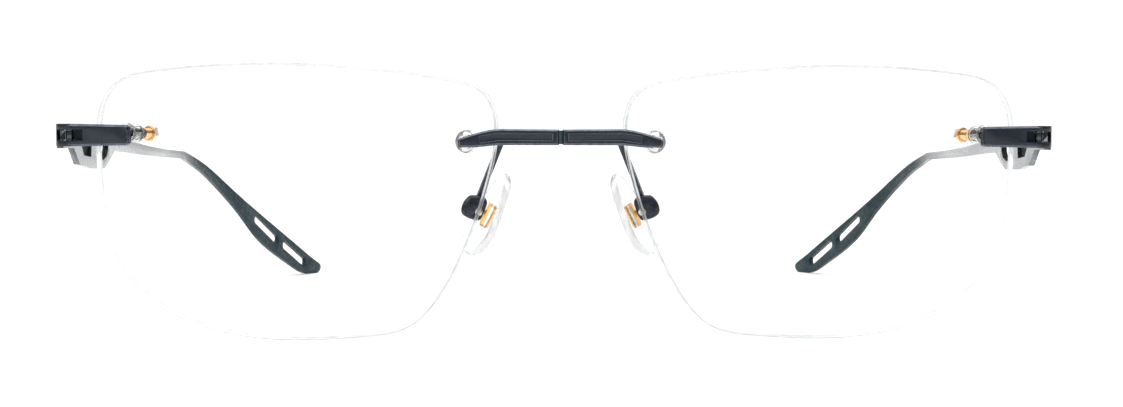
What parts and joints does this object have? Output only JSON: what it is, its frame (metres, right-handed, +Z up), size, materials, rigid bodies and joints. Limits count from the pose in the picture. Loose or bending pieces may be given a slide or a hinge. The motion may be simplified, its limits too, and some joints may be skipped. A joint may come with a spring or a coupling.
{
  "type": "rimless eyeglasses",
  "caption": "Rimless eyeglasses with drilled curved lenses, a joined metal bridge, rocking clear nose pads and folding cut-out metal temples.",
  "frame": {"origin": "on the table, under the middle of the glasses' bounding box, with the temples open", "axes": "+Z up, -Y the way the wearer looks, +X towards the wearer's left"},
  "size_m": [0.145, 0.1432, 0.0392],
  "materials": {
    "lens_glass": "clear polished lens with a faint coating",
    "clear_plastic": "clear moulded plastic",
    "silicone": "clear soft silicone",
    "navy_metal": "dark navy satin lacquer",
    "bridge_teal": "dark teal satin lacquer",
    "temple_metal": "dark teal satin lacquer",
    "dark_steel": "darkened steel",
    "screw_steel": "bright turned steel",
    "gold_plate": "gold plated"
  },
  "bodies": {
    "front": {"lens_left": "lens_glass", "lens_right": "lens_glass", "bridge_front_washer_left": "clear_plastic", "bridge_front_washer_right": "clear_plastic", "bridge_bush_left": "clear_plastic", "bridge_bush_right": "clear_plastic", "bridge_back_washer_left": "clear_plastic", "bridge_back_washer_right": "clear_plastic", "endpiece_front_washer_left": "clear_plastic", "endpiece_front_washer_right": "clear_plastic", "endpiece_bush_left": "clear_plastic", "endpiece_bush_right": "clear_plastic", "endpiece_back_washer_left": "clear_plastic", "endpiece_back_washer_right": "clear_plastic", "bridge_stud_left": "dark_steel", "bridge_stud_right": "dark_steel", "endpiece_stud_left": "dark_steel", "endpiece_stud_right": "dark_steel", "bridge_nut_left": "dark_steel", "bridge_nut_right": "dark_steel", "endpiece_collar_left": "dark_steel", "endpiece_collar_right": "dark_steel", "endpiece_nut_left": "gold_plate", "endpiece_nut_right": "gold_plate", "bridge_bar_left": "navy_metal", "bridge_bar_right": "navy_metal", "pad_box_left": "navy_metal", "pad_box_right": "navy_metal", "pad_screw_left": "screw_steel", "pad_screw_right": "screw_steel", "pad_arm_left": "navy_metal", "pad_arm_right": "navy_metal", "endpiece_left": "navy_metal", "endpiece_right": "navy_metal", "hinge_screw_left": "screw_steel", "hinge_screw_right": "screw_steel", "hinge_washers_left": "dark_steel", "hinge_washers_right": "dark_steel", "bridge_core": "bridge_teal"},
    "temple_left": {"temple_left": "temple_metal"},
    "pad_left": {"pad_core_left": "gold_plate", "nose_pad_left": "silicone"},
    "temple_right": {"temple_right": "temple_metal"},
    "pad_right": {"pad_core_right": "gold_plate", "nose_pad_right": "silicone"}
  },
  "joints": [
    {"name": "hinge_left", "type": "hinge", "parent": "front", "child": "temple_left", "pos_m": [0.06995, -0.05962, 0.02905], "axis": [0, 0, 1], "range_deg": [0, 78]},
    {"name": "hinge_right", "type": "hinge", "parent": "front", "child": "temple_right", "pos_m": [-0.06995, -0.05962, 0.02905], "axis": [0, 0, -1], "range_deg": [0, 68]},
    {"name": "pad_rock_left", "type": "hinge", "parent": "front", "child": "pad_left", "pos_m": [0.01165, -0.06242, 0.0182], "axis": [0, 1, 0], "range_deg": [-8, 8]},
    {"name": "pad_rock_right", "type": "hinge", "parent": "front", "child": "pad_right", "pos_m": [-0.01165, -0.06242, 0.0182], "axis": [0, 1, 0], "range_deg": [-8, 8]}
  ]
}
